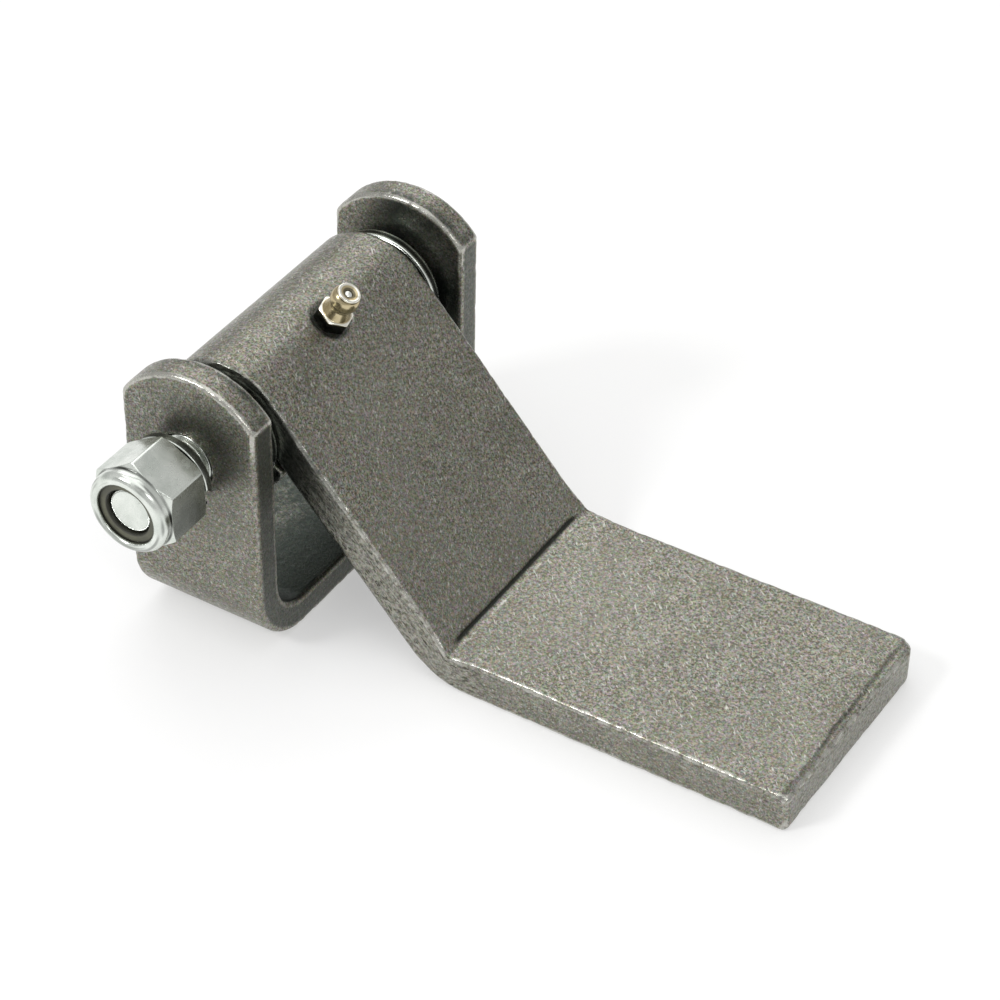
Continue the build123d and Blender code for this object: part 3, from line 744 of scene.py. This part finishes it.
class Graph:
    """A material's node tree with short ways to add to it."""

    def __init__(self, name):
        self.material = bpy.data.materials.new(name)
        self.material.use_nodes = True
        self.tree = self.material.node_tree
        self.surface = self.tree.nodes["Principled BSDF"]

    def add(self, kind, **settings):
        node = self.tree.nodes.new(kind)
        for key, value in settings.items():
            setattr(node, key, value)
        return node

    def feed(self, socket, value):
        if isinstance(value, bpy.types.NodeSocket):
            self.tree.links.new(value, socket)
        elif value is not None:
            socket.default_value = value

    def place(self):
        return self.add("ShaderNodeTexCoord").outputs["Object"]

    def attribute(self, name, vector=False):
        node = self.add("ShaderNodeAttribute", attribute_name=name)
        return node.outputs["Vector" if vector else "Fac"]

    def stretch(self, vector, scale):
        node = self.add("ShaderNodeMapping")
        self.feed(node.inputs["Vector"], vector)
        node.inputs["Scale"].default_value = scale
        return node.outputs["Vector"]

    def turned(self, vector, angle):
        node = self.add("ShaderNodeVectorRotate", rotation_type="AXIS_ANGLE")
        self.feed(node.inputs["Vector"], vector)
        node.inputs["Axis"].default_value = (0.3, -0.5, 0.8)
        node.inputs["Angle"].default_value = angle
        return node.outputs["Vector"]

    def noise(self, vector, scale, detail=2.0, roughness=0.5, distortion=0.0):
        node = self.add("ShaderNodeTexNoise")
        self.feed(node.inputs["Vector"], vector)
        self.feed(node.inputs["Scale"], scale)
        self.feed(node.inputs["Detail"], detail)
        self.feed(node.inputs["Roughness"], roughness)
        self.feed(node.inputs["Distortion"], distortion)
        return node.outputs["Fac"]

    def cells(self, vector, scale):
        node = self.add("ShaderNodeTexVoronoi", feature="F1")
        self.feed(node.inputs["Vector"], vector)
        self.feed(node.inputs["Scale"], scale)
        return node.outputs

    def range(self, value, low, high, to_low=0.0, to_high=1.0):
        node = self.add("ShaderNodeMapRange", interpolation_type="SMOOTHSTEP")
        self.feed(node.inputs["Value"], value)
        for socket, number in zip(("From Min", "From Max", "To Min", "To Max"), (low, high, to_low, to_high)):
            self.feed(node.inputs[socket], number)
        return node.outputs["Result"]

    def math(self, operation, a, b=None):
        node = self.add("ShaderNodeMath", operation=operation)
        self.feed(node.inputs[0], a)
        self.feed(node.inputs[1], b)
        return node.outputs[0]

    def mix(self, amount, a, b, blend="MIX"):
        node = self.add("ShaderNodeMix", data_type="RGBA", blend_type=blend)
        self.feed(node.inputs["Factor"], amount)
        self.feed(node.inputs["A"], a if isinstance(a, bpy.types.NodeSocket) else (*a, 1))
        self.feed(node.inputs["B"], b if isinstance(b, bpy.types.NodeSocket) else (*b, 1))
        return node.outputs["Result"]

    def bump(self, height, strength, distance, normal=None):
        node = self.add("ShaderNodeBump")
        self.feed(node.inputs["Height"], height)
        self.feed(node.inputs["Strength"], strength)
        self.feed(node.inputs["Distance"], distance * MM)
        if normal is not None:
            self.feed(node.inputs["Normal"], normal)
        return node.outputs["Normal"]

    def finish(self, color, roughness, normal, metallic):
        self.feed(self.surface.inputs["Base Color"], color)
        self.feed(self.surface.inputs["Roughness"], roughness)
        self.feed(self.surface.inputs["Normal"], normal)
        self.feed(self.surface.inputs["Metallic"], metallic)
        return self.material


def rolled_steel():
    g = Graph("rolled_steel")
    where = g.place()
    bar = g.attribute("bar", vector=True)
    edge = g.attribute("edge")
    groove = g.attribute("groove")
    sheared = g.attribute("sheared")
    painted_steel_shade = g.attribute("painted_steel_shade")

    fine = g.noise(where, 2600, 2, 0.6)
    grain = g.noise(where, 1350, 3, 0.62)
    warmth = g.noise(g.turned(where, 1.1), 1700, 1)
    yellowness = g.noise(g.turned(where, 2.3), 1500, 1)
    cloud = g.noise(where, 90, 5, 0.6, 0.6)
    broad = g.noise(where, 24, 3, 0.55)
    color = g.mix(g.range(fine, 0.32, 0.68), SCALE_DARK, SCALE_LIGHT)
    color = g.mix(g.range(grain, 0.50, 0.68, 0.0, 0.7), color, GRAIN_LIGHT)
    color = g.mix(g.range(grain, 0.46, 0.32, 0.0, 0.6), color, GRAIN_DARK)
    color = g.mix(g.range(cloud, 0.40, 0.72, 0.0, 0.35), color, CLOUD_DARK)
    color = g.mix(g.range(broad, 0.42, 0.66, 0.0, 0.25), color, PATCH_LIGHT)
    # Small dark pits in the scale
    pits = g.cells(where, 520)
    in_pit = g.range(pits["Distance"], 0.24, 0.10)
    pit = g.math("MULTIPLY", in_pit, g.range(g.noise(where, 170, 2), 0.54, 0.64))
    color = g.mix(g.math("MULTIPLY", pit, 0.6), color, PIT)
    # The scale's colour drifts from grain to grain, between green and red and between yellow and blue
    color = g.mix(1.0, color, g.mix(g.range(warmth, 0.34, 0.66), GREENISH, REDDISH), "MULTIPLY")
    color = g.mix(1.0, color, g.mix(g.range(yellowness, 0.34, 0.66), YELLOWISH, BLUISH), "MULTIPLY")
    # Short bright scratches, both ways
    for turn, scale in ((0.6, (500, 2600, 1500)), (-0.9, (2400, 420, 1500))):
        tilted = g.stretch(g.turned(where, turn), scale)
        scratch = g.range(g.noise(tilted, 1.0, 1, 0.5), 0.66, 0.76)
        color = g.mix(g.math("MULTIPLY", scratch, 0.75), color, SCRATCH)

    # Sheared faces carry streaks and torn nicks along the bar
    streak = g.noise(g.stretch(bar, (820, 950, 1600)), 1.0, 4, 0.68, 0.3)
    streak_color = g.mix(g.range(streak, 0.38, 0.62), STREAK_DARK, STREAK_LIGHT)
    torn = g.range(g.noise(g.stretch(bar, (620, 850, 1700)), 1.0, 2, 0.6), 0.58, 0.66)
    color = g.mix(g.math("MULTIPLY", sheared, 0.5), color, streak_color)
    color = g.mix(g.math("MULTIPLY", g.math("MULTIPLY", torn, sheared), 0.85), color, TORN)

    # Edges are rubbed bright, unevenly; on the ears' tops and beside the crease the brightening is a painted
    # highlight
    rub = g.math("ADD", edge, g.range(g.noise(where, 420, 4, 0.7), 0.3, 0.7, -0.65, 0.15))
    worn = g.range(rub, 0.35, 1.0)
    color = g.mix(g.math("MULTIPLY", worn, 0.7), color, EDGE_WEAR_AND_HIGHLIGHT)
    # Painted shade in the furrow, along the rolled edge's lip and in the bracket's inner bends
    color = g.mix(g.math("MULTIPLY", groove, 0.93), color, FURROW_SHADE)
    # Blue-black painted shade goes where each piece marks it: in hollows, under things and on shaded faces
    color = g.mix(g.math("MULTIPLY", painted_steel_shade, 0.92), color, STEEL_SHADE)

    roughness = g.range(grain, 0.3, 0.7, 0.42, 0.30)
    roughness = g.math("SUBTRACT", roughness, g.math("MULTIPLY", worn, 0.10))
    height = g.math("ADD", g.math("MULTIPLY", grain, 0.8), g.math("MULTIPLY", fine, 0.5))
    height = g.math("SUBTRACT", height, g.math("MULTIPLY", pit, 0.4))
    height = g.math("ADD", height, g.math("MULTIPLY", g.math("MULTIPLY", streak, sheared), 0.6))
    normal = g.bump(height, 0.5, 0.13)
    return g.finish(color, roughness, normal, g.range(worn, 0, 1, 0.9, 1.0))


def plated(name, light, dark, haze):
    g = Graph(name)
    where = g.place()
    cloud = g.noise(where, 160, 4, 0.6, 0.4)
    fine = g.noise(where, 2600, 3, 0.6)
    color = g.mix(g.range(cloud, 0.3, 0.7), dark, light)
    spots = g.cells(where, 500)
    in_spot = g.range(spots["Distance"], 0.16, 0.05)
    spot = g.math("MULTIPLY", in_spot, g.range(g.noise(where, 220, 2), 0.55, 0.66))
    color = g.mix(g.math("MULTIPLY", spot, 0.5), color, PLATING_SPOT)
    # Painted shade where the piece marks it
    color = g.mix(g.attribute("painted_shade"), color, PLATING_SHADE)
    # Painted highlight where the piece marks it
    color = g.mix(g.attribute("painted_highlight"), color, PLATING_HIGHLIGHT)
    roughness = g.range(g.noise(where, 420, 4, 0.6), 0.3, 0.7, haze - 0.05, haze + 0.09)
    normal = g.bump(fine, 0.12, 0.03)
    normal = g.bump(cloud, 0.18, 0.10, normal)
    return g.finish(color, roughness, normal, 1.0)


def nylon():
    g = Graph("nylon")
    where = g.place()
    cloud = g.noise(where, 300, 4, 0.6)
    color = g.mix(g.range(cloud, 0.3, 0.7), NYLON_DARK, NYLON_LIGHT)
    # Painted shade under the lip and against the bolt
    color = g.mix(g.attribute("painted_shade"), color, NYLON_SHADE)
    roughness = g.range(cloud, 0.3, 0.7, 0.42, 0.6)
    return g.finish(color, roughness, g.bump(g.noise(where, 900, 3), 0.25, 0.06), 0.0)


def ball_steel():
    g = Graph("ball_steel")
    where = g.place()
    cloud = g.noise(where, 900, 4, 0.6)
    color = g.mix(g.range(cloud, 0.3, 0.7), BALL_DARK, BALL_LIGHT)
    return g.finish(color, g.range(cloud, 0.3, 0.7, 0.16, 0.3), g.bump(cloud, 0.1, 0.02), 1.0)


def floor_paint():
    g = Graph("floor_paint")
    where = g.place()
    cloud = g.noise(where, 2.2, 3)
    color = g.mix(g.range(cloud, 0.3, 0.7), FLOOR_DARK, FLOOR_LIGHT)
    # A lit table: its own glow keeps the shadows faint
    g.surface.inputs["Emission Color"].default_value = (1, 1, 1, 1)
    g.surface.inputs["Emission Strength"].default_value = FLOOR_GLOW
    roughness = g.range(cloud, 0.3, 0.7, 0.65, 0.75)
    return g.finish(color, roughness, g.bump(g.noise(where, 900, 2), 0.05, 0.05), 0.0)


STEEL = rolled_steel()
ZINC = plated("zinc_plate", ZINC_LIGHT, ZINC_DARK, ZINC_HAZE)
YELLOW = plated("yellow_zinc", GOLD_LIGHT, GOLD_DARK, GOLD_HAZE)
NYLON = nylon()
BALL = ball_steel()


def finish_piece(obj, material, body, node):
    obj.data.materials.clear()
    obj.data.materials.append(material)
    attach(obj, body)
    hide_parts(node)


finish_piece(make_strap(), STEEL, "swinging_strap", "strap")
finish_piece(make_bracket(), STEEL, "fixed_bracket", "bracket")
finish_piece(make_pivot_bolt(), ZINC, "fixed_bracket", "pivot_bolt")
finish_piece(make_lock_nut(), ZINC, "fixed_bracket", "lock_nut")
finish_piece(make_nylon_insert(), NYLON, "fixed_bracket", "nylon_insert")
finish_piece(make_lock_washer(), ZINC, "fixed_bracket", "lock_washer")
for side in ("near", "far"):
    washer = "thrust_washer_" + side
    finish_piece(make_thrust_washer(washer), ZINC, side + "_washer", washer)
finish_piece(make_grease_fitting(), YELLOW, "swinging_strap", "grease_fitting")
finish_piece(make_ball(), BALL, "check_ball", "fitting_ball")
spring = make_spring()
finish_piece(spring, BALL, "swinging_strap", "fitting_spring")
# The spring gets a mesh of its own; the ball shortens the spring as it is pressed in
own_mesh(spring)


# ---------------------------------------------------------------- camera, floor and light

def camera():
    azimuth, elevation, roll = (math.radians(a) for a in (AZIMUTH, ELEVATION, ROLL))
    back = Vector((
        math.sin(azimuth) * math.cos(elevation),
        -math.cos(azimuth) * math.cos(elevation),
        math.sin(elevation),
    ))
    level = Vector((math.cos(azimuth), math.sin(azimuth), 0))
    rise = back.cross(level)
    right = math.cos(roll) * level + math.sin(roll) * rise
    up = math.cos(roll) * rise - math.sin(roll) * level
    place = (Vector(CAMERA_AIM) + back * CAMERA_DISTANCE) * MM
    data = bpy.data.cameras.new("camera")
    data.sensor_width = 36
    data.lens = LENS
    obj = bpy.data.objects.new("camera", data)
    bpy.context.scene.collection.objects.link(obj)
    axes = Matrix((right, up, back)).transposed().to_4x4()
    obj.matrix_world = Matrix.Translation(place) @ axes
    bpy.context.scene.camera = obj


def softbox(name, place, size, power):
    """A rectangular lamp aimed at the hinge. Its place and size are in metres."""
    data = bpy.data.lights.new(name, "AREA")
    data.shape = "RECTANGLE"
    data.size, data.size_y = size
    data.energy = power
    lamp = bpy.data.objects.new(name, data)
    bpy.context.scene.collection.objects.link(lamp)
    lamp.location = place
    aim = Vector((0.05, 0, 0.02)) - Vector(place)
    lamp.rotation_euler = aim.to_track_quat("-Z", "Y").to_euler()


def surroundings():
    bpy.ops.mesh.primitive_plane_add(size=8, location=(0, 0, -0.0001))
    floor = bpy.context.object
    floor.name = "floor"
    floor.data.materials.append(floor_paint())
    world = bpy.data.worlds.new("studio")
    bpy.context.scene.world = world
    world.use_nodes = True
    world.node_tree.nodes["Background"].inputs["Color"].default_value = (1, 1, 1, 1)
    world.node_tree.nodes["Background"].inputs["Strength"].default_value = 0.6
    softbox("key", (-0.6, -0.93, 1.0), (0.3, 0.3), 7.3)
    softbox("right", (0.85, -0.62, 0.95), (0.6, 0.14), 1.7)
    softbox("back", (-0.65, 1.07, 1.0), (1.3, 1.0), 4.5)
    softbox("overhead", (-0.1, -0.1, 1.6), (1.6, 1.6), 7)
    bpy.context.scene.view_settings.view_transform = "Standard"


camera()
surroundings()
